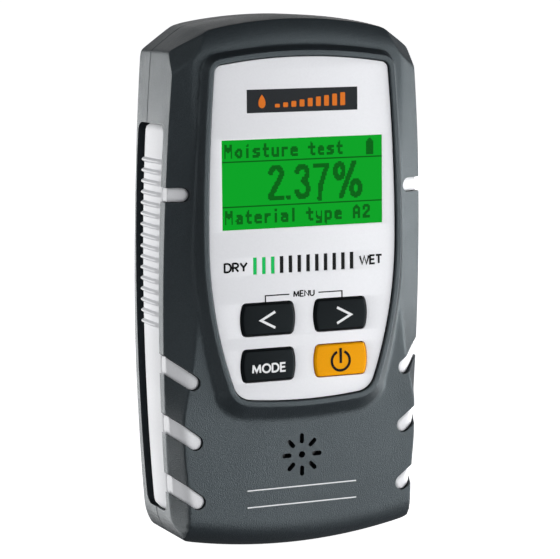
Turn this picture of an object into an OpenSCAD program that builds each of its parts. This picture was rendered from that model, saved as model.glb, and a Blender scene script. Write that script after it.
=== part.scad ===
// Hand-held moisture meter, standing upright: front face towards -Y,
// measuring pads on the back towards +Y, long axis along Z. Millimetres.

/* [Housing] */
// level of the top end above the drawing's level zero
body_h = 152; // [140:0.5:165]
// depth of the bottom end below the drawing's level zero
foot_z = 2.5; // [1:0.1:4]
// half width at the widest level
body_hw = 40.4; // [36:0.1:45]
// level of the widest point
wide_z = 73; // [60:1:100]
// radius of the gently bowed sides
side_r = 800; // [500:10:2000]
// radius of the arched top end
top_r = 132; // [100:1:180]
// radius of the arched bottom end
bot_r = 168; // [110:1:200]
// distance of the upper corner chamfers from the middle of the lower end
corner_k = 137; // [135:0.1:139]
// front plane of the lower housing
front_y = -14.6; // [-16:0.1:-12]
// parting line between the two shells
part_y = 5.9; // [3:0.1:9]
// flat back face of the rear shell
back_y = 16.6; // [16:0.1:20]
// wall thickness
wall = 2.2; // [1.6:0.1:3]
// gap between fixed neighbouring pieces
gap = 0.1; // [0.05:0.01:0.2]

/* [Faceplate] */
// level of the lower edge of the faceplate
fp_z0 = 41.8; // [38:0.1:46]
// level of the upper edge of the faceplate
fp_z1 = 140.3; // [136:0.1:144]
// half width of the faceplate at its widest
fp_hw = 29.05; // [26:0.05:31]
// level where the faceplate is widest
fp_wz = 88; // [80:1:95]
// front plane of the faceplate
fp_y = -16.5; // [-17.5:0.1:-15.5]
// thickness of the faceplate
fp_t = 1.4; // [1:0.1:2]
// front plane of the raised rim
rim_y = -17.2; // [-18:0.1:-16.6]
// width of the raised rim
rim_w = 1.6; // [1.2:0.1:2.2]
// length of the slope below the rim
rim_slope = 3.4; // [2:0.1:5]

/* [Display] */
// width of the display window
lcd_w = 50; // [46:0.5:52]
// height of the display window
lcd_h = 25.5; // [22:0.5:28]
// level of the display centre
lcd_z = 104.5; // [100:0.5:110]
// width of the badge plate
badge_w = 34.5; // [30:0.5:38]
// height of the badge plate
badge_h = 6.7; // [5:0.1:8]
// level of the badge centre
badge_z = 128; // [125:0.5:132]
// number of indicator bars
bar_n = 12; // [8:1:16]
// number of lit indicator bars
bar_lit = 3; // [0:1:12]
// pitch of the indicator bars
bar_p = 2.76; // [2:0.01:3]
// level of the indicator bar centres
bar_z = 81.2; // [79:0.1:83]

/* [Keys] */
// width of a key
key_w = 17; // [14:0.1:18]
// height of a key
key_h = 9.6; // [8:0.1:11]
// sideways position of the key centres
key_x = 11.4; // [10:0.1:13]
// level of the upper row
key_z1 = 65.8; // [63:0.1:68]
// level of the lower row
key_z2 = 52.5; // [50:0.1:54]
// front plane of the released keys
key_y = -17.3; // [-18:0.1:-17]
// travel of a key
key_travel = 0.8; // [0.4:0.1:1]
// running clearance round a key
key_gap = 0.3; // [0.25:0.01:0.5]

/* [Side grips] */
// front edge of the side window at its lower end
win_y0 = -2.9; // [-4:0.1:-2]
// front edge of the side window at its upper end
win_yt = -7.6; // [-9:0.1:-5]
// back edge of the side window
win_y1 = 12.8; // [11:0.1:14]
// back edge of the grip strip
grip_y1 = 9.2; // [8:0.1:11]
// lower end of the side window
win_z0 = 9.2; // [8:0.1:16]
// upper end of the side window
win_z1 = 121.6; // [118:0.1:126]
// depth of the side window
win_d = 3.2; // [2.5:0.1:4]
// number of ribs on a grip
rib_n = 16; // [8:1:20]
// pitch of the ribs
rib_p = 3.13; // [2.5:0.01:4]
// level of the lowest rib
rib_z = 64.0; // [55:0.5:70]
// level of the lowest slanted finger at the side edge
fing_z = 18.8; // [16:0.1:22]
// pitch of the slanted fingers
fing_p = 17.1; // [15:0.1:19]

/* [Speaker] */
// level of the sound opening centre
snd_z = 25; // [22:0.5:28]
// radius of the ring of slots
snd_r = 4.75; // [4:0.05:6]

/* [Battery] */
// width of the block battery
bat_w = 26.2; // [25.5:0.1:26.5]
// length of the block battery
bat_l = 46.4; // [45:0.1:47]
// depth of the block battery
bat_d = 16.6; // [15.5:0.1:17.5]
// lower end of the battery
bat_z = 14.5; // [12:0.5:18]
// lower edge of the battery door
door_z0 = 10; // [8:0.5:14]
// upper edge of the battery door
door_z1 = 70; // [66:0.5:74]
// half width of the battery door
door_hw = 16; // [15:0.5:20]
// thickness of the battery door
door_t = 2; // [1.5:0.1:2.5]

/* [Measuring head] */
// width of a measuring pad
pad_w = 19; // [15:0.5:24]
// length of a measuring pad
pad_l = 52; // [40:1:60]
// sideways position of the pad centres
pad_x = 14; // [12:0.5:18]
// level of the pad centres
pad_z = 104; // [98:1:110]
// height of a pad above the back face
pad_h = 0.7; // [0.4:0.1:1.5]

/* [Hidden] */

big = 400;
top_c = body_h - top_r;
bot_c = bot_r - foot_z;
fp_top_r = 159;
fp_bot_r = 150;
fp_up_r = 553;
fp_low_r = 125;
board_y = -9;
board_t = 1.6;
bat_y = -3.1;
screw_x = 24;
screw_top = 140.5;
screw_bot = 6.6;

shell_col = [0.33, 0.35, 0.37];
white_col = [0.9, 0.9, 0.9];
dark_col = [0.12, 0.13, 0.14];

// points on an arc
function arc(c, r, a0, a1, n) =
  [for (i = [0 : n]) c + r * [cos(a0 + (a1 - a0) * i / n), sin(a0 + (a1 - a0) * i / n)]];
// angle from one point to another
function ang(c, p) = atan2(p[1] - c[1], p[0] - c[0]);
// meeting point of two circles, on the side with the larger x
function meet(c1, r1, c2, r2) =
  let (d = norm(c2 - c1), a = (r1 * r1 - r2 * r2 + d * d) / (2 * d),
       h = sqrt(r1 * r1 - a * a), u = (c2 - c1) / d, m = c1 + a * u,
       p = m + h * [-u[1], u[0]], q = m - h * [-u[1], u[0]])
  p[0] > q[0] ? p : q;

// right half of the faceplate outline, moved outwards by d
function fp_half(d) =
  let (cb = [0, fp_z0 + fp_bot_r], ct = [0, fp_z1 - fp_top_r],
       cl = [fp_hw - fp_low_r, fp_wz], cu = [fp_hw - fp_up_r, fp_wz],
       k = meet(cb, fp_bot_r - 6, cl, fp_low_r - 6),
       t = meet(ct, fp_top_r - 2.2, cu, fp_up_r - 2.2))
  concat(arc(cb, fp_bot_r + d, -90, ang(cb, k), 8),
         arc(k, 6 + d, ang(cb, k), ang(cl, k), 8),
         arc(cl, fp_low_r + d, ang(cl, k), -0.5, 14),
         arc(cu, fp_up_r + d, 0, ang(cu, t), 10),
         arc(t, 2.2 + d, ang(cu, t), ang(ct, t), 6),
         arc(ct, fp_top_r + d, ang(ct, t), 89.9, 10));

module fp_shape(d) {
  half = fp_half(d);
  n = len(half);
  polygon(concat(half, [for (i = [n - 1 : -1 : 1]) [-half[i][0], half[i][1]]]));
}

// key outline with bowed ends, moved outwards by d
module key_shape(d) {
  r = 14;
  f = 1.3;
  y = key_h / 2 - f;
  x = key_w / 2 - r + sqrt(pow(r - f, 2) - y * y);
  a = ang([key_w / 2 - r, 0], [x, y]);
  quad = concat(arc([key_w / 2 - r, 0], r + d, 0, a, 5), arc([x, y], f + d, a, 90, 5));
  m = len(quad) - 1;
  polygon(concat(quad, [for (i = [m : -1 : 0]) [-quad[i][0], quad[i][1]]],
    [for (i = [1 : m]) [-quad[i][0], -quad[i][1]]],
    [for (i = [m : -1 : 1]) [quad[i][0], -quad[i][1]]]));
}

// extrudes a shape drawn in X and Z from y0 to y1
module slab(y0, y1) {
  translate([0, y1, 0]) rotate([90, 0, 0]) linear_extrude(y1 - y0) children();
}

// half space beyond the plane through p with outward direction n
module beyond(p, n) {
  translate(p) rotate([0, acos(n[2] / norm(n)), atan2(n[1], n[0])])
    translate([-150, -150, 0]) cube([300, 300, 120]);
}

// half space cut on both sides
module beyond2(p, n, d) {
  q = p - n * d / norm(n);
  beyond(q, n);
  beyond([-q[0], q[1], q[2]], [-n[0], n[1], n[2]]);
}

// chamfers at the corners of the outline
module corner_cuts(e) {
  beyond2([corner_k * cos(54), 0, corner_k * sin(54)], [cos(54), 0, sin(54)], e);
  beyond2([37.35, 0, 6], [0.924, 0, -0.383], e);
  beyond2([36.4, 0, 2.6], [0.707, 0, -0.707], e);
}

// full housing envelope: sides in by s, ends by e, front by f, facets by c
module envelope(s, e, f, c, y1) {
  difference() {
    intersection() {
      translate([0, 0, top_c]) rotate([-90, 0, 0])
        rotate_extrude($fn = 720) end_profile(top_r, 9, 3.6, e, f, y1);
      translate([0, 0, bot_c]) rotate([-90, 0, 0])
        rotate_extrude($fn = 720) end_profile(bot_r, 9, 8.4, e, f, y1);
      translate([body_hw - side_r, y1, wide_z]) rotate([90, 0, 0])
        cylinder(r = side_r - s, h = y1 + 30, $fn = 2880);
      translate([side_r - body_hw, y1, wide_z]) rotate([90, 0, 0])
        cylinder(r = side_r - s, h = y1 + 30, $fn = 2880);
    }
    corner_cuts(e);
    intersection() {
      beyond2([29.7, front_y, 86], [0.437, -1, -0.0317], c);
      beyond2([29.7, front_y, 86], [0.74, -1, 0.0844], c);
    }
    beyond2([35.6, front_y, 22], [2.4, -1, -0.125], c);
    beyond2([33.8, -9.1, 145], [1, -1, 0.8], c);
  }
}

// radial section of a rolled end: roll length dr and depth dy
module end_profile(r, dr, dy, e, f, y1) {
  k = (dr * dr + dy * dy) / (2 * dy);
  y0 = front_y + f;
  difference() {
    translate([0, y0]) square([r - e, y1 - y0]);
    difference() {
      translate([r - dr - e, y0 - 1]) square([dr + 1, dy + 1]);
      translate([r - dr - e, y0 + k]) circle(r = k, $fn = 180);
    }
  }
}

// chamfer round the back edge, moved in by d
module back_cuts(d) {
  y = back_y - 2.2;
  beyond2([39.76, y - 0.2, 105], [0.6, 0.8, 0.024], d);
  beyond2([39.76, y + 1, 41], [0.6, 0.8, -0.016], d);
  beyond2([(corner_k - 0.3) * cos(54), y, (corner_k - 0.3) * sin(54)], [0.6 * cos(54), 0.8, 0.6 * sin(54)], d);
  beyond([0, y, 151 - d], [0, 0.8, 0.6]);
  beyond([0, y, 1 - foot_z + d], [0, 0.8, -0.6]);
}

// window in the side walls, seen along X: its front edge leans forward at the top
module side_window(m) {
  lean = atan2(win_y0 - win_yt, win_z1 - win_z0);
  a = win_y0 + m;
  b = win_yt + m;
  c = win_y1 - m;
  z0 = win_z0 + m + 3;
  z1 = win_z1 - m - 3;
  translate([-50, 0, 0]) rotate([90, 0, 90]) linear_extrude(100)
    polygon(concat(arc([a + 3, z0], 3, 180 + lean, 270, 10),
      arc([c - 3, z0], 3, 270, 360, 10),
      arc([c - 3, z1], 3, 0, 90, 10),
      arc([b + 3, z1], 3, 90, 180 + lean, 10)));
}

// outlines of the fingers on the right-hand side, grown by m
module finger_shape(m) {
  for (i = [0 : 2]) finger(2.2 + m, [32.4 + 0.55 * i, fing_z - 5 + (fing_p + 0.2) * i], 37, 17);
  finger(2.1 + m, [35.3, 102], 0, 12);
}

// one finger: round tip of radius r at point p, then straight for a length
module finger(r, p, a, len) {
  translate(p) rotate(a) polygon(concat(arc([0, 0], r, 90, 270, 14), [[len, -r], [len, r]]));
}

// screw bosses of the housing
module bosses(r, y0, y1) {
  for (x = [-screw_x, screw_x]) {
    translate([x, y1, 136]) rotate([90, 0, 0]) cylinder(r = r, h = y1 - y0, $fn = 48);
    translate([x, y1, 9.5]) rotate([90, 0, 0]) cylinder(r = r, h = y1 - y0, $fn = 48);
  }
}

// four positions on the main board
module board_spots() {
  for (x = [-24.5, 24.5])
    for (z = [22, 120.8]) translate([x, 0, z]) children();
}

// one slot star of the sound opening
module sound_shape() {
  translate([0, snd_z]) {
    circle(r = 0.95, $fn = 36);
    for (i = [0 : 7]) rotate(i * 45) {
      translate([snd_r - 0.8, -0.6]) square([1.6, 1.2]);
      translate([snd_r - 0.8, 0]) circle(r = 0.6, $fn = 24);
      translate([snd_r + 0.8, 0]) circle(r = 0.6, $fn = 24);
    }
  }
}

module front_shell() color(shell_col) {
  difference() {
    union() {
      difference() {
        envelope(0, 0, 0, 0, part_y - gap / 2);
        difference() {
          side_window(0);
          envelope(win_d, win_d, 0, 0, 30);
        }
        for (m = [0, 1]) mirror([m, 0, 0]) difference() {
          slab(-20, win_y0 - 0.1) finger_shape(0);
          envelope(2.6, 2.6, 2.6, 2.6, 30);
        }
        envelope(5.4, 2.6, wall, 4.8, 30);
      }
      slab(rim_y, front_y + 0.5) fp_shape(0.3 + rim_w);
      difference() {
        slab(rim_y, front_y + 0.5) translate([0, -rim_slope]) fp_shape(0.3 + rim_w);
        beyond([0, rim_y, fp_z0 - 1.9], [0, -rim_slope, rim_y - front_y]);
      }
      intersection() {
        bosses(3.2, front_y + 1, 3);
        envelope(1, 1, 0.5, 1, 30);
      }
      board_spots() translate([0, board_y - 0.1, 0]) rotate([90, 0, 0])
        cylinder(r = 2.3, h = 4, $fn = 36);
      slab(front_y + 1, -10.5) difference() {
        translate([0, snd_z]) circle(r = 8.6, $fn = 64);
        translate([0, snd_z]) circle(r = 7.4, $fn = 64);
      }
    }
    slab(rim_y - 1, fp_y + fp_t + gap) fp_shape(0.3);
    slab(-17, -8) translate([-lcd_w / 2 - 1, lcd_z - lcd_h / 2 - 1]) square([lcd_w + 2, lcd_h + 2]);
    slab(-17, -12) translate([-17.4, bar_z - 3.2]) square([34.8, 6.4]);
    for (x = [-key_x, key_x])
      for (z = [key_z1, key_z2]) slab(-17, -12) translate([x, z]) key_shape(key_gap);
    slab(-16, -11.5) sound_shape();
    for (x = [-screw_x, screw_x])
      for (z = [136, 9.5]) translate([x, 4, z]) rotate([90, 0, 0]) cylinder(r = 1.35, h = 13, $fn = 36);
    board_spots() translate([0, board_y, 0]) rotate([90, 0, 0]) cylinder(r = 1.05, h = 3.2, $fn = 36);
  }
}

module rear_shell() color(shell_col) {
  difference() {
    union() {
      difference() {
        intersection() {
          envelope(0, 0, 0, 0, back_y);
          translate([-60, part_y + gap / 2, -10]) cube([120, 40, 180]);
        }
        back_cuts(0);
        difference() {
          side_window(0);
          envelope(win_d, win_d, 0, 0, 30);
        }
        intersection() {
          envelope(5.4, 2.6, wall, 4.8, back_y - wall);
          translate([-60, 0, -10]) cube([120, 40, 180]);
        }
      }
      translate([-15.2, bat_y - 1.3, 12.4]) cube([30.4, back_y - bat_y - 0.1, 59]);
      translate([-door_hw - 2.4, back_y - 5, door_z0 - 1.5]) cube([2 * door_hw + 4.8, 4.6, 6.5]);
      intersection() {
        bosses(3.2, 3.2, back_y - 1);
        envelope(1, 1, 0, 1, 30);
      }
    }
    translate([-14, bat_y - 0.1, 13.8]) cube([28, 30, 56.2]);
    translate([-door_hw - 0.3, back_y - door_t - 0.3, door_z0 - 0.3])
      cube([2 * door_hw + 0.6, 10, door_z1 - door_z0 + 0.6]);
    translate([-door_hw - 0.3, back_y - 4.3, door_z0 - 0.3]) cube([2 * door_hw + 0.6, 8, 4.6]);
    translate([-door_hw - 1.6, back_y - door_t, door_z0 + 2]) rotate([0, 90, 0])
      cylinder(r = 1.06, h = 2 * door_hw + 3.2, $fn = 36);
    for (x = [-screw_x, screw_x])
      for (z = [136, 9.5]) translate([x, 0, z]) rotate([-90, 0, 0]) {
        cylinder(r = 1.7, h = 40, $fn = 36);
        translate([0, 0, 12]) cylinder(r = 3, h = 20, $fn = 48);
      }
    for (x = [-pad_x, pad_x]) translate([x - pad_w / 2 - gap, back_y - 1, pad_z - pad_l / 2 - gap])
      cube([pad_w + 2 * gap, 4, pad_l + 2 * gap]);
    translate([-2.2, bat_y - 2.3, 66]) cube([4.4, 9, 5]);
    translate([-60, back_y, -10]) cube([120, 40, 180]);
  }
}

module front_panel() color(white_col) {
  difference() {
    slab(fp_y, fp_y + fp_t) fp_shape(0);
    slab(fp_y - 1, fp_y + 4) translate([-lcd_w / 2, lcd_z - lcd_h / 2]) square([lcd_w, lcd_h]);
    slab(fp_y - 1, fp_y + 0.3) translate([-badge_w / 2, badge_z - badge_h / 2]) square([badge_w, badge_h]);
    for (i = [0 : bar_n - 1]) slab(fp_y - 1, fp_y + 4)
      translate([(i - (bar_n - 1) / 2) * bar_p - 0.55, bar_z - 2.45]) square([1.1, 4.9]);
    for (x = [-key_x, key_x])
      for (z = [key_z1, key_z2]) slab(fp_y - 1, fp_y + 4) translate([x, z]) key_shape(key_gap);
  }
}

module badge_plate() color(dark_col) {
  slab(fp_y - 0.05, fp_y + 0.25)
    translate([-badge_w / 2 + 0.05, badge_z - badge_h / 2 + 0.05]) square([badge_w - 0.1, badge_h - 0.1]);
}

module display_window() color([0, 0.66, 0.13]) {
  slab(fp_y, fp_y + 1.2)
    translate([-lcd_w / 2 + 0.05, lcd_z - lcd_h / 2 + 0.05]) square([lcd_w - 0.1, lcd_h - 0.1]);
}

module lcd_module() color([0.55, 0.6, 0.55]) {
  slab(fp_y + 1.45, -11.9)
    translate([-lcd_w / 2 - 0.8, lcd_z - lcd_h / 2 - 0.8]) square([lcd_w + 1.6, lcd_h + 1.6]);
}

module backlight() color([0.85, 0.95, 0.85]) {
  slab(-11.7, board_y - 0.1)
    translate([-lcd_w / 2, lcd_z - lcd_h / 2]) square([lcd_w, lcd_h]);
}

module bar_set(i0, i1) {
  for (i = [i0 : i1]) slab(fp_y + 0.02, -10.4)
    translate([(i - (bar_n - 1) / 2) * bar_p - 0.5, bar_z - 2.4]) square([1, 4.8]);
}

module bars_lit() color([0.2, 0.8, 0.4]) bar_set(0, bar_lit - 1);

module bars_dark() color(dark_col) bar_set(bar_lit, bar_n - 1);

// one key: cap, collar behind the wall and a short plunger
module key_body() {
  slab(key_y, -12) key_shape(0);
  slab(-12, -11.2) key_shape(0.9);
  slab(-11.3, board_y - 1.5) circle(r = 2, $fn = 36);
}

module key_left() color(dark_col) translate([-key_x, 0, key_z1]) key_body();

module key_right() color(dark_col) translate([key_x, 0, key_z1]) key_body();

module key_mode() color(dark_col) translate([-key_x, 0, key_z2]) key_body();

module key_power() color([0.96, 0.62, 0]) translate([key_x, 0, key_z2]) key_body();

module key_domes() color([0.75, 0.75, 0.72]) {
  for (x = [-key_x, key_x])
    for (z = [key_z1, key_z2])
      translate([x, board_y - 0.05, z]) rotate([90, 0, 0]) {
        cylinder(r = 3, h = 0.2, $fn = 48);
        cylinder(r = 1.8, h = 0.35, $fn = 48);
      }
}

module main_board() color([0.05, 0.35, 0.2]) {
  difference() {
    slab(board_y, board_y + board_t) translate([-28, 17]) square([56, 106]);
    board_spots() translate([0, board_y + 3, 0]) rotate([90, 0, 0]) cylinder(r = 1.2, h = 6, $fn = 36);
  }
}

// parts soldered to the back of the main board
module board_chips() color([0.1, 0.1, 0.12]) {
  y = board_y + board_t + 0.05;
  translate([-8, y, 84]) cube([12, 1.6, 12]);
  translate([9, y, 86]) cube([6, 1.4, 5]);
  translate([-20, y, 88]) cube([5, 1.4, 8]);
  for (x = [-18, -14, 12, 16]) translate([x, y, 78]) cube([2, 1, 1.2]);
  translate([8, y, 100]) cube([11, 3, 4]);
  for (z = [104, 109]) translate([-18, y + 3.5, z]) rotate([90, 0, 0]) cylinder(r = 2, h = 3.5, $fn = 36);
}

module buzzer() color(dark_col) {
  difference() {
    slab(-12, board_y - 0.1) translate([0, snd_z]) circle(r = 7, $fn = 64);
    slab(-13, -11) translate([0, snd_z]) circle(r = 1, $fn = 36);
  }
}

module battery() color([0.55, 0.45, 0.2]) {
  translate([-bat_w / 2, bat_y, bat_z]) cube([bat_w, bat_d, bat_l]);
}

module battery_terminals() color([0.8, 0.8, 0.82]) {
  z = bat_z + bat_l + 0.05;
  y = bat_d / 2 + bat_y;
  translate([-6.4, y, z]) cylinder(r = 2.9, h = 1.9, $fn = 48);
  translate([6.4, y, z]) cylinder(r = 3.6, h = 1.9, $fn = 6);
}

module battery_snap() color(dark_col) {
  z = bat_z + bat_l + 2.1;
  y = bat_d / 2 + bat_y;
  translate([-12.5, y - 6, z]) cube([25, 12, 2.2]);
  translate([-12.5, y - 3, z + 2.1]) cube([5, 6, 1.6]);
}

module battery_door() color(shell_col) {
  difference() {
    union() {
      translate([-door_hw, back_y - door_t, door_z0 + 2])
        cube([2 * door_hw, door_t, door_z1 - door_z0 - 2]);
      translate([-door_hw, back_y - door_t, door_z0 + 2]) rotate([0, 90, 0])
        cylinder(r = 2, h = 2 * door_hw, $fn = 48);
      translate([-door_hw - 1.4, back_y - door_t, door_z0 + 2]) rotate([0, 90, 0])
        cylinder(r = 1, h = 2 * door_hw + 2.8, $fn = 36);
    }
    for (i = [0 : 5]) translate([-9, back_y - 0.6, door_z1 - 6 - i * 1.8]) cube([18, 2, 0.9]);
  }
}

module door_foam() color([0.25, 0.25, 0.27]) {
  translate([-9, back_y - door_t - 0.9, 26]) cube([18, 0.85, 24]);
}

module sensor_pads() color([0.1, 0.1, 0.1]) {
  for (x = [-pad_x, pad_x]) difference() {
    translate([x - pad_w / 2, back_y - 0.95, pad_z - pad_l / 2]) cube([pad_w, 0.95 + pad_h, pad_l]);
    for (i = [0 : 8]) translate([x - pad_w / 2 - 1, back_y + pad_h - 0.4, pad_z - 21.5 + i * 5.2])
      cube([pad_w + 2, 1, 1.4]);
  }
}

module sensor_board() color([0.05, 0.35, 0.2]) {
  slab(12.9, 14.4) translate([-25.5, 76]) square([51, 55]);
}

// flat strip that joins the two boards
module sensor_link() color([0.85, 0.55, 0.15]) {
  translate([-6, board_y + board_t + 0.1, 110]) cube([12, 0.3, 8]);
  translate([-6, board_y + board_t + 0.1, 118]) cube([12, 20.1, 0.3]);
}

// ribbed grip strip with its fingers, on the right-hand side
module grip_body() {
  difference() {
    intersection() {
      slab(-20, win_y0 + 0.3) finger_shape(-0.15);
      envelope(0.8, 0.8, 0.8, 0.8, 30);
    }
    envelope(2.45, 2.45, 2.45, 2.45, 30);
  }
  difference() {
    union() {
      intersection() {
        side_window(0.15);
        envelope(0.5, 0.5, 0, 0, grip_y1);
        translate([0, -20, 0]) cube([60, 60, 200]);
      }
      for (i = [0 : rib_n - 1]) intersection() {
        translate([0, -20, rib_z + i * rib_p - 0.5]) cube([60, 40, 1]);
        side_window(1);
        translate([20, -20, 40]) cube([40, grip_y1 + 19.6, 90]);
        envelope(-0.1, 0, 0, 0, 30);
      }
    }
    envelope(win_d - 0.2, win_d - 0.2, 0, 0, 30);
  }
}

module grip_right() color(white_col) grip_body();

module grip_left() color(white_col) mirror([1, 0, 0]) grip_body();

module housing_screws() color([0.7, 0.7, 0.72]) {
  for (x = [-screw_x, screw_x])
    for (z = [136, 9.5]) translate([x, 0, z]) rotate([-90, 0, 0]) difference() {
      union() {
        translate([0, 0, -7]) cylinder(r = 1.3, h = 19.1, $fn = 36);
        translate([0, 0, 12.05]) cylinder(r = 2.7, h = 2, $fn = 48);
      }
      translate([-1.6, -0.35, 13.2]) cube([3.2, 0.7, 2]);
      translate([-0.35, -1.6, 13.2]) cube([0.7, 3.2, 2]);
    }
}

module board_screws() color([0.7, 0.7, 0.72]) {
  board_spots() rotate([90, 0, 0]) {
    translate([0, 0, 7.35]) cylinder(r = 1, h = 4, $fn = 36);
    translate([0, 0, 5.9]) cylinder(r = 2.1, h = 1.46, $fn = 36);
  }
}

// raises a piece so that the bottom end of the housing is at level zero
module standing() translate([0, 0, foot_z]) children();

standing() front_shell();
standing() rear_shell();
standing() front_panel();
standing() badge_plate();
standing() display_window();
standing() lcd_module();
standing() backlight();
standing() bars_lit();
standing() bars_dark();
standing() key_left();
standing() key_right();
standing() key_mode();
standing() key_power();
standing() key_domes();
standing() main_board();
standing() board_chips();
standing() buzzer();
standing() battery();
standing() battery_terminals();
standing() battery_snap();
standing() battery_door();
standing() door_foam();
standing() sensor_pads();
standing() sensor_board();
standing() sensor_link();
standing() grip_left();
standing() grip_right();
standing() housing_screws();
standing() board_screws();
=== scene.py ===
import math
import bmesh
import bpy
import numpy as np
from mathutils import Matrix, Vector


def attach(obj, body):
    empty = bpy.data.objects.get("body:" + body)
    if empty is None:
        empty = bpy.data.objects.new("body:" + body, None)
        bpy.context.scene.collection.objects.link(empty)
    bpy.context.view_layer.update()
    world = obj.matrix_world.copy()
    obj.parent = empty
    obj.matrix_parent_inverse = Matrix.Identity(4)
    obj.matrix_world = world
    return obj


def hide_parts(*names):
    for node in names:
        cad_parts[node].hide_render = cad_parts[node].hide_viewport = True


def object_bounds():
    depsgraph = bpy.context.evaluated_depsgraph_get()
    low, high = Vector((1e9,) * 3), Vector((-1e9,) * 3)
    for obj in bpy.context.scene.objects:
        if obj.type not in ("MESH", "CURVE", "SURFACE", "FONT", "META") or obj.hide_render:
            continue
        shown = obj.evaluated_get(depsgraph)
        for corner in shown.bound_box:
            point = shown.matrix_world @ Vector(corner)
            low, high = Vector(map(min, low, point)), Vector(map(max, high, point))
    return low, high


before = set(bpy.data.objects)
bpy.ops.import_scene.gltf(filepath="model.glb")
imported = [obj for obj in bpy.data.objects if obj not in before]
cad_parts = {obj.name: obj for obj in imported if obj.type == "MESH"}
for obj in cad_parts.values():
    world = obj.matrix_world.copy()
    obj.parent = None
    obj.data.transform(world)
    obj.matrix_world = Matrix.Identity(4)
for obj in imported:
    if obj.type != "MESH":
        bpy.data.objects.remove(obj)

cad_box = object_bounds()
MM = 0.001
N_AROUND = 1080
CENTRE = np.array([0.0, 90.0])      # middle of the polar grids, X and Z in mm

# Sizes and places in mm, as in part.scad; Z counts from FOOT_Z above the floor
BODY_HW, WIDE_Z, SIDE_R = 40.4, 73.0, 800.0
TOP_R, BOT_R, BODY_H, FOOT_Z = 132.0, 168.0, 152.0, 2.5
CORNER_N, CORNER_K = (math.cos(math.radians(54)), math.sin(math.radians(54))), 137.0
STEEP_N, STEEP_K = (0.924, -0.383), 32.21               # lower corner, steep cut
LOW_N, LOW_K = (0.7071, -0.7071), 23.9                  # lower corner, 45 degree cut
FACET_X, FACET_Y, FACET_Z, FACET_SLOPE = 33.8, -9.1, 145.0, 0.8     # upper corner facet of the front
TOP_ROLL, BOT_ROLL, ROLL_IN = 15.0, 9.0, 9.0            # roll radii of the ends, and where they start
FRONT_Y, PART_Y, BACK_Y = -14.6, 5.9, 16.6
BACK_SLOPE, BACK_X = 0.75, 39.76                        # chamfer round the back
FP_Y, RIM_Y, RIM_W = -16.5, -17.2, 1.6
FP_Z0, FP_Z1, FP_HW, FP_WZ = 41.8, 140.3, 29.05, 88.0
FP_GAP, FP_SEAT, FP_T = 0.3, -15.02, 1.4
LCD_W, LCD_H, LCD_Z = 50.0, 25.5, 104.5
BADGE_Z = 128.0
BAR_N, BAR_P, BAR_Z, BAR_W, BAR_H = 12, 2.76, 81.2, 1.1, 4.9
KEY_W, KEY_H, KEY_X, KEY_Z1, KEY_Z2, KEY_Y = 17.0, 9.6, 11.4, 65.8, 52.5, -17.3
WIN_Y0, WIN_YT, WIN_Y1, WIN_Z0, WIN_Z1, WIN_D, WIN_R = -2.9, -7.6, 12.8, 9.2, 121.6, 3.2, 3.0
GRIP_Y1 = 9.2
RIB_N, RIB_P, RIB_Z, RIB_HW = 16, 3.13, 64.0, 0.75
FING_Z, FING_P, FING_A = 18.8, 17.1, math.radians(37.0)
SND_Z, SND_R, SND_HW = 25.0, 4.75, 0.68
SCREW_X, SCREW_Z, BORE_R = 24.0, (136.0, 9.5), 3.0
DOOR_Z0, DOOR_Z1, DOOR_HW, DOOR_T, DOOR_GAP = 10.0, 70.0, 16.0, 2.0, 0.3
PAD_W, PAD_L, PAD_X, PAD_Z = 19.0, 52.0, 14.0, 104.0
KEY_SPOTS = {"key_left": (-KEY_X, KEY_Z1), "key_right": (KEY_X, KEY_Z1),
             "key_mode": (-KEY_X, KEY_Z2), "key_power": (KEY_X, KEY_Z2)}
BAY_Y, BAY_HW, BAY_Z0, BAY_Z1 = -3.2, 14.0, 13.8, 70.0  # hollow of the battery bay
KEY_TRIM, KEY_GAP = 0.22, 0.3       # keys and their holes are smaller than in the CAD by KEY_TRIM
WALL_IN = 5.4                       # inner edge of the parting faces, from the outline
BEYOND = 25.0                       # a Y behind everything


# ---------------- curves

def smin(a, b, k):
    """Lower of two values, rounded where they meet."""
    return 0.5 * (a + b - np.sqrt((a - b) ** 2 + k * k))


def smax(a, b, k):
    """Higher of two values, rounded where they meet."""
    return -smin(-a, -b, k)


def ease(t):
    """Smooth step from 0 to 1."""
    t = np.clip(t, 0, 1)
    return t * t * (3 - 2 * t)


def ray_circle(u, c, r):
    """Distance from CENTRE along directions u to a circle that surrounds it."""
    q = CENTRE - np.array(c)
    b = u @ q
    return -b + np.sqrt(b * b - q @ q + r * r)


def ray_line(u, n, k):
    """Distance from CENTRE along directions u to the line with normal n and offset k."""
    n = np.array(n)
    den = u @ n
    return np.where(den > 1e-3, (k - CENTRE @ n) / np.maximum(den, 1e-3), 1e4)


def body_radius(u, inset=0.0):
    """Polar radius of the housing outline in directions u (N, 2)."""
    u = np.stack([np.abs(u[:, 0]), u[:, 1]], 1)
    side = ray_circle(u, (BODY_HW - SIDE_R, WIDE_Z), SIDE_R - inset)
    top = ray_circle(u, (0, BODY_H - TOP_R), TOP_R - inset)
    bot = ray_circle(u, (0, BOT_R - FOOT_Z), BOT_R - inset)
    r = smin(side, smin(top, bot, 0.1), 0.5)
    r = smin(r, ray_line(u, CORNER_N, CORNER_K - inset), 0.5)
    r = smin(r, ray_line(u, STEEP_N, STEEP_K - inset), 0.9)
    return smin(r, ray_line(u, LOW_N, LOW_K - inset), 0.9)


def side_x(z, inset=0.0):
    """X of the housing's side at level z, moved inwards by inset."""
    return BODY_HW - SIDE_R + np.sqrt((SIDE_R - inset) ** 2 - (z - WIDE_Z) ** 2)


def window_front(z):
    """Y of the side window's front edge, which leans forward at the top."""
    return WIN_Y0 + (WIN_YT - WIN_Y0) * (z - WIN_Z0) / (WIN_Z1 - WIN_Z0)


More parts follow.
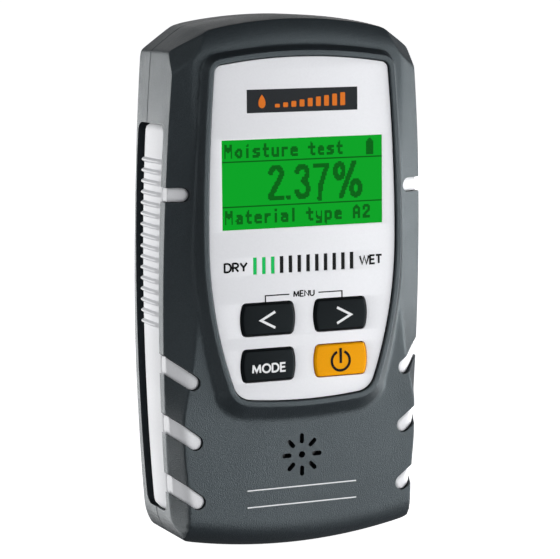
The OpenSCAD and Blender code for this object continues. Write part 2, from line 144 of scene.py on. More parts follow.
def top_draft(u, y):
    """How far the top end slopes down towards the front, by direction u and depth y."""
    top = ease((np.degrees(np.arctan2(u[:, 1], np.abs(u[:, 0]))) - 52) / 12)
    t = -2.5 - y
    return top * 0.1 * 0.5 * (t + np.sqrt(t * t + 4))


def arc(c, r, a0, a1, n):
    """Points (n, 2) on a circle about c, angles in degrees."""
    t = np.radians(np.linspace(a0, a1, n))
    return np.stack([c[0] + r * np.cos(t), c[1] + r * np.sin(t)], 1)


def turned(p, angle):
    """Points (N, 2) turned about the origin."""
    c, s = math.cos(angle), math.sin(angle)
    return np.stack([p[:, 0] * c - p[:, 1] * s, p[:, 0] * s + p[:, 1] * c], 1)


def meet(c1, r1, c2, r2):
    """Where two circles meet, on the side of positive X."""
    c1, c2 = np.array(c1, float), np.array(c2, float)
    d = np.linalg.norm(c2 - c1)
    a = (r1 * r1 - r2 * r2 + d * d) / (2 * d)
    u = (c2 - c1) / d
    across = math.sqrt(r1 * r1 - a * a) * np.array([-u[1], u[0]])
    p, q = c1 + a * u + across, c1 + a * u - across
    return p if p[0] > q[0] else q


def ang(c, p):
    """Direction from c to p, in degrees."""
    return math.degrees(math.atan2(p[1] - c[1], p[0] - c[0]))


def panel_outline(d, dense=1):
    """Faceplate outline moved outwards by d: closed, counter-clockwise in X and Z."""
    bot_r, low_r, up_r, top_r = 150, 125, 553, 159      # bottom, lower side, upper side, top
    knee_r, turn_r = 6, 2.2                             # between bottom and side, side and top
    bot, top = (0, FP_Z0 + bot_r), (0, FP_Z1 - top_r)
    low, up = (FP_HW - low_r, FP_WZ), (FP_HW - up_r, FP_WZ)
    knee = meet(bot, bot_r - knee_r, low, low_r - knee_r)
    turn = meet(top, top_r - turn_r, up, up_r - turn_r)
    spans = ((bot, bot_r, -90, ang(bot, knee), 16), (knee, knee_r, ang(bot, knee), ang(low, knee), 16),
             (low, low_r, ang(low, knee), 0, 30), (up, up_r, 0, ang(up, turn), 24),
             (turn, turn_r, ang(up, turn), ang(top, turn), 10), (top, top_r, ang(top, turn), 90, 18))
    parts = [arc(c, r + d, a0, a1, n * dense) for c, r, a0, a1, n in spans]
    half = np.concatenate([parts[0]] + [p[1:] for p in parts[1:]])
    return np.concatenate([half, half[1:-1][::-1] * np.array([-1, 1])])


def key_outline(d, n=6):
    """Key outline with bowed ends, moved outwards by d, counter-clockwise."""
    d -= KEY_TRIM
    bow_r, corner_r = 14.0, 1.3
    bow_x = KEY_W / 2 - bow_r
    z = KEY_H / 2 - corner_r
    x = bow_x + math.sqrt((bow_r - corner_r) ** 2 - z * z)
    a = ang((bow_x, 0), (x, z))
    quarter = np.concatenate([arc((bow_x, 0), bow_r + d, 0, a, n), arc((x, z), corner_r + d, a, 90, n)[1:]])
    upper = np.concatenate([quarter, quarter[::-1] * np.array([-1, 1])])
    lower = upper[::-1] * np.array([1, -1])
    return np.concatenate([upper, lower[1:-1]])


def rounded_rect(x0, z0, x1, z1, r, n=6):
    """Rectangle with round corners, counter-clockwise."""
    corners = ((x1 - r, z0 + r, -90), (x1 - r, z1 - r, 0), (x0 + r, z1 - r, 90), (x0 + r, z0 + r, 180))
    return np.concatenate([arc((x, z), r, a, a + 90, n) for x, z, a in corners])


def rect(cx, cz, w, h):
    """Rectangle about a middle, counter-clockwise."""
    return np.array([[cx - w / 2, cz - h / 2], [cx + w / 2, cz - h / 2],
                     [cx + w / 2, cz + h / 2], [cx - w / 2, cz + h / 2]])


def polar_of(poly, theta):
    """Polar radius about CENTRE of a closed star-shaped polygon at angles theta."""
    q = poly - CENTRE
    a = np.unwrap(np.arctan2(q[:, 1], q[:, 0]))
    r = np.hypot(q[:, 0], q[:, 1])
    if a[-1] < a[0]:
        a, r = a[::-1], r[::-1]
    return np.interp(theta, np.concatenate([a - 2 * np.pi, a, a + 2 * np.pi]), np.concatenate([r, r, r]))


PANEL_DENSE = panel_outline(0.0, 6)
PANEL_STEP = np.roll(PANEL_DENSE, -1, 0) - np.roll(PANEL_DENSE, 1, 0)
PANEL_NORMAL = np.stack([PANEL_STEP[:, 1], -PANEL_STEP[:, 0]], 1)
PANEL_NORMAL = PANEL_NORMAL / np.linalg.norm(PANEL_STEP, axis=1)[:, None]


def panel_distance(x, z):
    """Signed distance to the faceplate outline and the outward normal's Z there."""
    p = np.stack([x.ravel(), z.ravel()], 1)
    d, nz = np.empty(len(p)), np.empty(len(p))
    batch = 4000
    for i in range(0, len(p), batch):
        q = p[i:i + batch]
        j = ((q[:, None, :] - PANEL_DENSE[None]) ** 2).sum(2).argmin(1)
        d[i:i + batch] = ((q - PANEL_DENSE[j]) * PANEL_NORMAL[j]).sum(1)
        nz[i:i + batch] = PANEL_NORMAL[j, 1]
    return d.reshape(x.shape), nz.reshape(x.shape)


def fold_table():
    """Side facets of the front: where they leave the flat, and their slope, by level."""
    z = np.arange(-10.0, 165.0, 0.25)
    fold = np.interp(z, (5, 15, 28, 39, 54, 86, 102, 130), (35.0, 35.2, 36.4, 36.5, 33.3, 29.7, 31.3, 32.5))
    edge = np.interp(z, (5, 20, 50, 110, 140), (-4.5, -6.0, -8.0, -11.2, -12.2))
    reach = 24
    kernel = np.exp(-(np.arange(-reach, reach + 1) / 7.0) ** 2)
    kernel /= kernel.sum()
    fold, edge = (np.convolve(np.pad(c, reach, "edge"), kernel, "valid") for c in (fold, edge))
    side = BODY_HW - (z - WIDE_Z) ** 2 / (2 * SIDE_R)
    return z, fold, (edge - FRONT_Y) / (side - fold)


FOLD_Z, FOLD_X, FOLD_S = fold_table()


def end_roll(x, z, centre_z, end_r, roll, least):
    """Y of the front where it rolls back towards an end arc."""
    r = np.hypot(x, z - centre_z) - (end_r - ROLL_IN)
    return FRONT_Y + roll - np.sqrt(np.maximum(roll ** 2 - np.maximum(r, 0) ** 2, least))


def body_front(x, z, soft=0.4):
    """Y of the housing's front without its rim, creases softened."""
    x = np.abs(x)
    flat = np.full(x.shape, FRONT_Y)
    fold, slope = np.interp(z, FOLD_Z, FOLD_X), np.interp(z, FOLD_Z, FOLD_S)
    side = FRONT_Y + (x - fold) * slope
    corner = FACET_Y + (x - FACET_X) + FACET_SLOPE * (z - FACET_Z)
    top = end_roll(x, z, BODY_H - TOP_R, TOP_R, TOP_ROLL, 1)
    bot = end_roll(x, z, BOT_R - FOOT_Z, BOT_R, BOT_ROLL, 0.3)
    y = smax(smax(flat, side, soft), bot, 0.4)
    return smax(smax(y, top, 0.3), corner, 0.3)


def front_y(x, z):
    """Y of the housing's front with the raised rim, whose ramp is wider along the bottom."""
    d, nz = panel_distance(x, z)
    width = 1.2 + 2.4 * ease((0.05 - nz) / 0.65)
    ramp = RIM_Y + (FRONT_Y - RIM_Y) * (d - FP_GAP - RIM_W) / width
    return smin(body_front(x, z), smax(np.full(d.shape, RIM_Y), ramp, 0.18), 0.4)


def back_y(x, z):
    """Y of the housing's back with its chamfers: two at the side, then corner, top and bottom."""
    x = np.abs(x)
    out = BACK_SLOPE * (x - BACK_X)
    y = np.full(x.shape, BACK_Y)
    for plane in (14.2 - out - 0.03 * (z - 105), 15.4 - out + 0.02 * (z - 41),
                  14.4 - BACK_SLOPE * (CORNER_N[0] * x + CORNER_N[1] * z - CORNER_K + 0.3),
                  14.4 - BACK_SLOPE * (z - 151), 14.4 + BACK_SLOPE * (z - 1 + FOOT_Z)):
        y = smin(y, plane, 0.4)
    return y


# ---------------- meshes

def link(ob):
    bpy.context.scene.collection.objects.link(ob)
    return ob


def mesh_object(name, verts, faces):
    """Object from points in mm, normals outwards."""
    me = bpy.data.meshes.new(name)
    me.from_pydata([tuple(v) for v in np.asarray(verts, float) * MM], [], faces)
    me.validate()
    ob = link(bpy.data.objects.new(name, me))
    outward(ob)
    return ob


def outward(ob):
    bm = bmesh.new()
    bm.from_mesh(ob.data)
    bmesh.ops.remove_doubles(bm, verts=bm.verts, dist=1e-7)
    bmesh.ops.recalc_face_normals(bm, faces=bm.faces)
    bm.to_mesh(ob.data)
    bm.free()


def clean(ob):
    """Removes the slivers that a boolean leaves."""
    bm = bmesh.new()
    bm.from_mesh(ob.data)
    bmesh.ops.remove_doubles(bm, verts=bm.verts, dist=2e-7)
    bmesh.ops.dissolve_degenerate(bm, dist=2e-7, edges=bm.edges)
    bm.to_mesh(ob.data)
    bm.free()


def shade(ob, degrees):
    ob.data.shade_smooth()
    ob.data.set_sharp_from_angle(angle=math.radians(degrees))


def rings_mesh(name, rings, closed=False, caps=False):
    """Joins rings of equal length; closed joins the last ring to the first."""
    n, m = len(rings[0]), len(rings)
    faces = []
    for i in range(m if closed else m - 1):
        a, b = i * n, ((i + 1) % m) * n
        faces += [(a + j, a + (j + 1) % n, b + (j + 1) % n, b + j) for j in range(n)]
    if caps:
        faces += [tuple(range(n))[::-1], tuple(range((m - 1) * n, m * n))]
    return mesh_object(name, np.concatenate(rings), faces)


def prism(name, outline, y0, y1):
    """Closed prism of an outline in X and Z between two depths."""
    return rings_mesh(name, [np.insert(outline, 1, y, axis=1) for y in (y0, y1)], caps=True)


def block(name, lo, hi):
    outline = np.array([[lo[0], lo[2]], [hi[0], lo[2]], [hi[0], hi[2]], [lo[0], hi[2]]], float)
    return prism(name, outline, lo[1], hi[1])


def join(name, objects):
    """One object from several, which are removed."""
    bm = bmesh.new()
    for o in objects:
        me = o.data.copy()
        me.transform(o.matrix_world)
        bm.from_mesh(me)
        bpy.data.meshes.remove(me)
        bpy.data.objects.remove(o)
    me = bpy.data.meshes.new(name)
    bm.to_mesh(me)
    bm.free()
    return link(bpy.data.objects.new(name, me))


def evaluated_mesh(ob):
    bpy.context.view_layer.update()
    return bpy.data.meshes.new_from_object(ob.evaluated_get(bpy.context.evaluated_depsgraph_get()))


def boolean(ob, other, operation="DIFFERENCE", heal=False):
    """Cuts ob with another object, which is removed; heal merges ob's own overlaps."""
    mod = ob.modifiers.new("cut", "BOOLEAN")
    mod.object, mod.operation, mod.solver, mod.use_self = other, operation, "EXACT", heal
    me = evaluated_mesh(ob)
    ob.modifiers.clear()
    ob.data = me
    bpy.data.objects.remove(other)
    return ob


def bevel(ob, width):
    """Softens the edges of an object, as a live modifier."""
    mod = ob.modifiers.new("edge", "BEVEL")
    mod.width, mod.segments = width * MM, 3
    mod.limit_method, mod.angle_limit = "ANGLE", math.radians(30)
    mod.harden_normals = mod.use_clamp_overlap = True


THETA = np.linspace(0, 2 * np.pi, N_AROUND, endpoint=False)
UNIT = np.stack([np.cos(THETA), np.sin(THETA)], 1)


def ring(radii, depth, u=UNIT):
    """Closed ring about CENTRE; depth is a number, an array or a function of X and Z."""
    p = CENTRE + u * np.reshape(radii, (-1, 1))
    y = depth(p[:, 0], p[:, 1]) if callable(depth) else np.broadcast_to(depth, len(p))
    return np.stack([p[:, 0], y, p[:, 1]], 1)


def rolled_edge(radii, size, surface, inward, angles):
    """Rings of a rounded edge between a wall and a surface; inward is the sense of Y into the wall."""
    rings = []
    for phi in np.radians(angles):
        step = inward * size * (1 - math.sin(phi))
        rings.append(ring(radii - size * (1 - math.cos(phi)), lambda x, z: surface(x, z) + step))
    return rings


def turned_rings(cx, cz, profile, step):
    """Rings about an axis along Y, from a profile of radius and Y, one point every step degrees."""
    t = np.radians(np.arange(0, 360, step))
    return [np.stack([cx + r * np.cos(t), np.full(len(t), y), cz + r * np.sin(t)], 1) for r, y in profile]


def window_cutter(side, y0, y1):
    """Rounded window in a side wall, down to the outline moved in by WIN_D."""
    outline = rounded_rect(y0, WIN_Z0, y1, WIN_Z1, WIN_R, 8)
    if y0 == WIN_Y0:
        outline[:, 0] += np.where(outline[:, 0] < 10, window_front(outline[:, 1]) - WIN_Y0, 0)
    window = rings_mesh("window", [np.insert(outline, 0, side * x, axis=1) for x in (24.0, 46.0)], caps=True)
    u = UNIT[::3]
    return boolean(window, prism("core", CENTRE + u * body_radius(u, WIN_D)[:, None], -30, 30))


def finger(i):
    """Tip in X and Z, slant and half width of finger i; the last one is level."""
    if i < 3:
        return np.array([32.4 + 0.55 * i, FING_Z - 5 + (FING_P + 0.2) * i]), FING_A, 2.05
    return np.array([35.3, 102.0]), 0.0, 1.95


def slot_outline(i, side):
    """Outline in X and Z of the slot for finger i, a little wider than the finger."""
    tip, slant, half = finger(i)
    r, reach = half + 0.15, 17.0 if i < 3 else 12.0
    p = np.concatenate([arc((0, 0), r, 90, 270, 24), [[reach, -r], [reach, r]]])
    return (turned(p, slant) + tip) * np.array([side, 1])


def inner_core(inset):
    """The housing moved inwards by inset, as a closed solid."""
    u = UNIT[::2]
    radii = body_radius(u, inset)
    roll = 0.45

    def front(x, z):
        return body_front(x, z) + inset

    rings = [ring(0.01, BEYOND, u), ring(radii, BEYOND, u)]
    for s in (0.0, 0.06, 0.2, 0.45):
        lift = roll * (1 - math.sqrt(max(0, 1 - (1 - s / roll) ** 2)))
        rings.append(ring(radii - s, lambda x, z: front(x, z) + lift, u))
    rings += [ring((radii - roll) * (1 - t), front, u) for t in np.linspace(0.02, 0.6, 40)]
    rings.append(ring(0.01, FRONT_Y + inset, u))
    return rings_mesh("core", rings)


def sound_holes():
    """A round hole with eight slots around it."""
    holes = [arc((0, SND_Z), 1.0, 0, 345, 24)]
    slot = np.concatenate([arc((SND_R + 0.85, 0), SND_HW, -90, 90, 10),
                           arc((SND_R - 0.8, 0), SND_HW, 90, 270, 10)])
    holes += [turned(slot, i * math.pi / 4) + (0, SND_Z) for i in range(8)]
    return join("holes", [prism("hole", p, -18, -11) for p in holes])


def make_front_shell():
    """Front housing half as rings: parting face, side wall, rounded edge, front, rim, seat, inside."""
    outer, edge = body_radius(UNIT), 0.32
    rings = [ring(body_radius(UNIT, WALL_IN), PART_Y - 0.1), ring(outer - 0.16, PART_Y - 0.1),
             ring(outer, PART_Y - 0.22)]
    front = outer
    for _ in range(3):
        front = outer - top_draft(UNIT, ring(front, front_y)[:, 1])
    y_edge = ring(front, front_y)[:, 1]
    for t in (0.2, 0.4, 0.5, 0.6, 0.7, 0.85, 0.97):
        y = (PART_Y - 0.3) * (1 - t) + (y_edge + edge) * t
        rings.append(ring(outer - top_draft(UNIT, y), y))
    rings += rolled_edge(front, edge, front_y, 1, (0, 18, 36, 54, 72, 90))
    rim = polar_of(panel_outline(FP_GAP + RIM_W - 0.4, 4), THETA)
    gap = front - edge - rim
    near = np.array([0, .12, .24, .36, .48, .6, .72, .84, .96, 1.08, 1.2, 1.35, 1.5, 1.7, 1.95, 2.3, 2.7, 3.2,
                     3.8, 4.5, 5.3])
    reach = near[-1]
    radii = [rim + reach + (gap - reach) * t for t in np.linspace(0, 1, 80)[-2:0:-1]]
    radii += [rim + s for s in near[::-1]]
    rings += [ring(r, front_y) for r in radii]
    for d, y in ((0.9, RIM_Y), (0.55, RIM_Y), (0.42, RIM_Y + 0.04), (0.33, RIM_Y + 0.12),
                 (FP_GAP, RIM_Y + 0.25), (FP_GAP, -15.6), (FP_GAP, FP_SEAT), (-1.5, FP_SEAT), (-1.5, -12.4)):
        rings.append(ring(polar_of(panel_outline(d, 4), THETA), y))
    rings += [ring(body_radius(UNIT, 9.2), -11.6), ring(body_radius(UNIT, 6.4), -5.0)]
    shell = rings_mesh("front_housing", rings, closed=True)
    windows = join("windows", [window_cutter(s, WIN_Y0, BEYOND) for s in (-1, 1)])
    slots = join("slots", [prism("slot", slot_outline(i, s), -22, window_front(finger(i)[0][1] + 5) + 0.7)
                           for s in (-1, 1) for i in range(4)])
    slots = boolean(slots, inner_core(2.0))
    for cutter in (windows, slots, sound_holes()):
        shell = boolean(shell, cutter)
    clean(shell)
    shade(shell, 28)
    return shell


def make_rear_shell():
    """Rear housing half as rings: parting face, side wall, rounded edge, back, inside."""
    outer, edge, split, thick = body_radius(UNIT), 0.4, PART_Y + 0.1, 2.2
    rings = [ring(body_radius(UNIT, WALL_IN), split), ring(outer - 0.16, split), ring(outer, split + 0.12)]
    y_edge = ring(outer, back_y)[:, 1] - edge
    rings += [ring(outer, (split + 0.1) * (1 - t) + y_edge * t) for t in (0.3, 0.6, 0.85)]
    rings += rolled_edge(outer, edge, back_y, -1, (0, 22, 45, 67, 90))
    rings += [ring(outer - s, back_y) for s in list(np.linspace(0.7, 6.5, 24)) + [8, 11, 15, 20]]
    rings += [ring(0.01, BACK_Y), ring(0.01, BACK_Y - thick), ring(body_radius(UNIT, 8.0), BACK_Y - thick),
              ring(body_radius(UNIT, WALL_IN), BACK_Y - 4.6)]
    shell = rings_mesh("rear_housing", rings, closed=True)
    cuts = [window_cutter(s, -BEYOND, WIN_Y1) for s in (-1, 1)]
    cuts.append(block("door", (-DOOR_HW - DOOR_GAP, BACK_Y - DOOR_T - DOOR_GAP, DOOR_Z0 - DOOR_GAP),
                      (DOOR_HW + DOOR_GAP, BEYOND, DOOR_Z1 + DOOR_GAP)))
    for x in (-PAD_X, PAD_X):
        cuts.append(block("pad", (x - PAD_W / 2 - 0.1, BACK_Y - 1, PAD_Z - PAD_L / 2 - 0.1),
                          (x + PAD_W / 2 + 0.1, BEYOND, PAD_Z + PAD_L / 2 + 0.1)))
    cuts += [prism("bore", arc((x, z), BORE_R, 0, 352.5, 48), 12, BEYOND)
             for x in (-SCREW_X, SCREW_X) for z in SCREW_Z]
    shell = boolean(shell, join("cuts", cuts))
    shell = boolean(shell, block("bay", (-BAY_HW, -2, BAY_Z0), (BAY_HW, BEYOND, BAY_Z1)))
    clean(shell)
    shade(shell, 28)
    return shell


def make_battery_bay():
    """Walls of the battery compartment behind the door, hinge ears and the counterbores' sleeves."""
    wall, inside = 1.2, BACK_Y - 2.3
    outer = block("battery_bay", (-BAY_HW - wall, BAY_Y - wall, BAY_Z0 - 1.4),
                  (BAY_HW + wall, inside - 0.05, BAY_Z1 + 1.4))
    pieces = [boolean(outer, block("cut", (-BAY_HW, BAY_Y, BAY_Z0), (BAY_HW, 40, BAY_Z1)))]
    for s in (-1, 1):
        ear = block("ear", (DOOR_HW + 0.35, BACK_Y - 5, DOOR_Z0 - 1.5), (DOOR_HW + 2.4, inside, DOOR_Z0 + 5))
        if s < 0:
            ear.data.transform(Matrix.Scale(-1, 4, (1, 0, 0)))
            outward(ear)
        pieces.append(ear)
    hole, wide, bore = 1.7, 3.9, BORE_R + 0.02
    profile = ((hole, 3.2), (wide, 3.2), (wide, inside), (bore, inside), (bore, 12), (hole, 12))
    for x in (-SCREW_X, SCREW_X):
        for z in SCREW_Z:
            pieces.append(rings_mesh("sleeve", turned_rings(x, z, profile, 7.5), closed=True))
    bay = join("battery_bay", pieces)
    outward(bay)
    shade(bay, 30)
    return bay


def flat_shape(name, outlines, half, edge=0.0):
    """Filled outlines with holes as a flat mesh in X and Z, half thick to each side, edges round if asked."""
    cu = bpy.data.curves.new(name, "CURVE")
    cu.dimensions, cu.fill_mode, cu.extrude = "2D", "BOTH", (half - edge) * MM
    if edge:
        cu.bevel_depth, cu.bevel_resolution, cu.offset = edge * MM, 3, -edge * MM
    for pts in outlines:
        sp = cu.splines.new("POLY")
        sp.points.add(len(pts) - 1)
        for q, p in zip(sp.points, pts):
            q.co = (p[0] * MM, p[1] * MM, 0, 1)
        sp.use_cyclic_u = True
    drawn = link(bpy.data.objects.new(name, cu))
    me = evaluated_mesh(drawn)
    bpy.data.objects.remove(drawn)
    me.transform(Matrix.Rotation(math.radians(90), 4, "X"))
    return link(bpy.data.objects.new(name, me))


def make_faceplate():
    """White plate with openings for the display, the bars and the keys."""
    holes = [rect(0, LCD_Z, LCD_W, LCD_H)[::-1]]
    holes += [rect((i - (BAR_N - 1) / 2) * BAR_P, BAR_Z, BAR_W, BAR_H)[::-1] for i in range(BAR_N)]
    holes += [(key_outline(KEY_GAP) + np.array(spot))[::-1] for spot in KEY_SPOTS.values()]
    plate = flat_shape("faceplate", [panel_outline(0.0, 2)] + holes, FP_T / 2, 0.08)
    plate.data.transform(Matrix.Translation((0, (FP_Y + FP_T / 2) * MM, 0)))
    outward(plate)
    shade(plate, 35)
    return plate


def key_height(x, z):
    """How far a key's face lies behind its highest point, in mm."""
    return 0.16 * (x / (KEY_W / 2)) ** 2 + 0.1 * (z / (KEY_H / 2)) ** 2


def make_key(name, cx, cz):
    """Key cap with a flange behind the faceplate, a rounded edge, a bowed face and a stem."""
    roll = 0.6
    profile = [(0.9, -11.2), (0.9, -11.95), (0.02, -12.0), (0.0, KEY_Y + 3.0), (0.0, KEY_Y + 0.75)]
    for phi in np.radians([0, 15, 30, 45, 60, 75, 90]):
        profile.append((-roll * (1 - math.cos(phi)), KEY_Y + roll * (1 - math.sin(phi))))
    loops = [(key_outline(d, 10), y) for d, y in profile]
    loops += [(key_outline(-roll, 10) * t, KEY_Y) for t in (0.93, 0.8, 0.6, 0.4, 0.2, 0.02)]
    rings = []
    for o, y in loops:
        bow_y = key_height(o[:, 0], o[:, 1]) if y < KEY_Y + 0.7 else 0
        rings.append(np.stack([o[:, 0] + cx, np.full(len(o), y) + bow_y, o[:, 1] + cz], 1))
    stem = turned_rings(cx, cz, ((2.0, -11.3), (2.0, -10.7), (1.8, -10.5)), 10)
    cap = join(name, [rings_mesh(name, rings, caps=True), rings_mesh("stem", stem, caps=True)])
    shade(cap, 40)
    return cap


def drape(ob, surface):
    """Lays a flat decal drawn in X and Z on a surface: Y = surface(x, z) + its own small Y."""
    co = np.empty(len(ob.data.vertices) * 3)
    ob.data.vertices.foreach_get("co", co)
    co = co.reshape(-1, 3) / MM
    co[:, 1] += surface(co[:, 0], co[:, 2])
    ob.data.vertices.foreach_set("co", (co * MM).ravel())
    ob.data.update()


def dice(me, cell):
    """Cuts a mesh into cells in X and Z, so that it can follow a surface."""
    bm = bmesh.new()
    bm.from_mesh(me)
    for axis in (0, 2):
        ends = [v.co[axis] for v in bm.verts]
        normal = Vector((axis == 0, 0, axis == 2))
        reach = min(ends) + cell * MM
        while reach < max(ends):
            bmesh.ops.bisect_plane(bm, geom=bm.verts[:] + bm.edges[:] + bm.faces[:], plane_co=normal * reach,
                                   plane_no=normal)
            reach += cell * MM
    bm.to_mesh(me)
    bm.free()


def decal(name, outlines, surface, cell=0.8):
    """Thin printed mark: outlines filled, cut into small cells, laid on a surface."""
    ob = flat_shape(name, outlines, 0.04)
    if cell:
        dice(ob.data, cell)
    outward(ob)
    drape(ob, surface)
    return ob


def strip_points(points, width):
    """Outline of a polyline drawn with a pen of the given width, with mitred corners."""
    p = np.array(points, float)
    d = np.diff(p, axis=0)
    d /= np.linalg.norm(d, axis=1)[:, None]
    normal = np.stack([-d[:, 1], d[:, 0]], 1)
    left, right = [], []
    for i in range(len(p)):
        m = normal[min(i, len(normal) - 1)]
        if 0 < i < len(p) - 1:
            m = normal[i - 1] + normal[i]
            m = m / max(m @ normal[i], 0.45)
        left.append(p[i] + m * width / 2)
        right.append(p[i] - m * width / 2)
    return np.array(left + right[::-1])


def bow(cx, cz, rx, rz, a0, a1, n=10):
    """Points on an elliptical arc, angles in degrees."""
    t = np.radians(np.linspace(a0, a1, n))
    return [(cx + rx * math.cos(a), cz + rz * math.sin(a)) for a in t]


# Capital letters as pen strokes on a grid 10 high: (advance width, strokes)
CAPITALS = {
    "D": (7.0, [[(0, -0.6), (0, 10.6)], [(0, 10)] + bow(2.9, 5, 4.0, 5, 90, -90, 16) + [(0, 0)]]),
    "R": (6.2, [[(0, 0), (0, 10.6)], [(0, 10)] + bow(3.0, 7.4, 2.8, 2.6, 90, -90) + [(0, 4.8)],
                [(2.6, 4.8), (6.0, 0)]]),
    "Y": (7.2, [[(0, 10), (3.6, 4.6), (7.2, 10)], [(3.6, 4.9), (3.6, 0)]]),
    "W": (10.6, [[(0, 10), (2.8, 0), (5.3, 9.6), (7.8, 0), (10.6, 10)]]),
    "E": (5.2, [[(5.2, 10), (0, 10), (0, 0), (5.4, 0)], [(0, 5.2), (4.8, 5.2)]]),
    "T": (6.8, [[(0, 10), (6.8, 10)], [(3.4, 10), (3.4, 0)]]),
    "M": (8.6, [[(0.2, 0), (0.8, 10)], [(8.4, 0), (7.8, 10)], [(0.8, 9.6), (4.3, 1.4), (7.8, 9.6)]]),
    "N": (6.8, [[(0, 0), (0, 10), (6.8, 0), (6.8, 10)]]),
    "U": (6.6, [[(0, 10)] + bow(3.3, 3.3, 3.3, 3.3, 180, 360, 14) + [(6.6, 10)]]),
    "O": (8.4, [bow(4.2, 5, 4.2, 5, 88, 272, 18), bow(4.2, 5, 4.2, 5, 268, 452, 18)]),
}

# Small display letters, as strokes of a pen two cells wide: (cells taken, strokes)
CELLS = {
    "o": (6, [[(1, 2.4), (1, 4.6), (2.4, 6), (3.6, 6), (5, 4.6), (5, 2.4), (3.6, 1), (2.4, 1), (1, 2.4)]]),
    "i": (4, [[(2, 1), (2, 6)], [(2, 8.6), (2, 8.7)]]),
    "s": (6, [[(4.8, 6), (1.8, 6), (1, 5), (2, 3.8), (4.2, 3.2), (5, 2.2), (4, 1), (1, 1)]]),
    "t": (5, [[(2, 8.6), (2, 2), (3, 1), (4.2, 1)], [(0.6, 6), (4.2, 6)]]),
    "u": (6, [[(1, 6), (1, 2), (2.2, 1), (5, 1)], [(5, 6), (5, 1)]]),
    "r": (5, [[(1, 6), (1, 1)], [(1, 4.6), (2.4, 6), (4.4, 6)]]),
    "e": (6, [[(1, 3.6), (5, 3.6), (5, 4.8), (3.8, 6), (2.2, 6), (1, 4.8), (1, 2.2), (2.2, 1), (4.8, 1)]]),
    "a": (6, [[(1.4, 6), (4, 6), (5, 5), (5, 1)], [(5, 3.6), (2, 3.6), (1, 2.4), (2, 1), (5, 1)]]),
    "l": (4, [[(2, 9), (2, 1)]]),
    "y": (6, [[(1, 6), (1, 3.2), (2.2, 2.2), (5, 2.2)], [(5, 6), (5, 0), (4, -1), (1.4, -1)]]),
    "p": (6, [[(1, 6), (1, -1.6)], [(1, 6), (3.8, 6), (5, 4.8), (5, 2.2), (3.8, 1), (1, 1)]]),
    "M": (7, [[(1, 1), (1, 9), (3.5, 5), (6, 9), (6, 1)]]),
    "A": (6, [[(1, 1), (1, 6.6), (3, 9), (5, 6.6), (5, 1)], [(1, 4), (5, 4)]]),
    "2": (6, [[(1, 7.4), (2.2, 9), (3.8, 9), (5, 7.6), (5, 6.2), (1, 1.8), (1, 1), (5, 1)]]),
    " ": (5, []),
}
BIG = {
    "2": [bow(6.5, 19.2, 4.4, 4.8, 165, -20, 12) + [(2.2, 4.0), (2.2, 2.2), (11.2, 2.2)]],
    "3": [bow(6.3, 19.0, 4.3, 4.8, 160, -75, 14), bow(6.3, 7.8, 4.7, 5.6, 80, -160, 14)],
    "7": [[(2.0, 23.8), (11.2, 23.8), (6.2, 10.0), (5.2, 0.4)]],
    ".": [[(2.2, 2.2), (2.3, 2.2)]],
    "%": [bow(5.2, 19.4, 3.4, 5.0, 0, 360, 24), bow(18.6, 6.6, 3.4, 5.0, 0, 360, 24),
          [(6.6, 1.2), (17.0, 25.0)]],
}
DISPLAY_DOTS = (128, 64)
DOT_W, DOT_H = LCD_W / DISPLAY_DOTS[0], LCD_H / DISPLAY_DOTS[1]


def pen_cells(strokes, pen, x0, z0, taken):
    """Marks the display cells that a round pen covers."""
    for line in strokes:
        p = np.array(line, float) + (x0, z0)
        lo, hi = np.floor(p.min(0) - pen).astype(int), np.ceil(p.max(0) + pen).astype(int)
        for ix in range(lo[0], hi[0] + 1):
            for iz in range(lo[1], hi[1] + 1):
                c = np.array([ix + 0.5, iz + 0.5])
                for a, b in zip(p[:-1], p[1:]):
                    t = np.clip(((c - a) @ (b - a)) / max((b - a) @ (b - a), 1e-9), 0, 1)
                    off = c - a - t * (b - a)
                    if np.abs(off).max() < pen * 0.97 and np.linalg.norm(off) < pen * 1.12:
                        taken.add((ix, iz))
                        break


def row_runs(taken):
    """Runs of neighbouring cells in each row: row, first and last cell."""
    rows = {}
    for ix, iz in sorted(taken):
        rows.setdefault(iz, []).append(ix)
    for iz, xs in rows.items():
        start = prev = xs[0]
        for ix in xs[1:]:
            if ix != prev + 1:
                yield iz, start, prev
                start = ix
            prev = ix
        yield iz, start, prev


def cells_mesh(name, taken, surface):
    """Display cells as one thin mesh, a box for each run of cells."""
    verts, faces = [], []
    ox, oz = -LCD_W / 2, LCD_Z - LCD_H / 2
    for iz, start, last in row_runs(taken):
        x0, x1 = ox + start * DOT_W + 0.015, ox + (last + 1) * DOT_W - 0.015
        z0, z1 = oz + iz * DOT_H + 0.008, oz + (iz + 1) * DOT_H - 0.008
        b = len(verts)
        for y in (-0.02, 0.0):
            verts += [(x0, y, z0), (x1, y, z0), (x1, y, z1), (x0, y, z1)]
        for f in ((0, 1, 2, 3), (7, 6, 5, 4), (0, 4, 5, 1), (1, 5, 6, 2), (2, 6, 7, 3), (3, 7, 4, 0)):
            faces.append(tuple(b + k for k in f))
    ob = mesh_object(name, verts, faces)
    drape(ob, surface)
    return ob


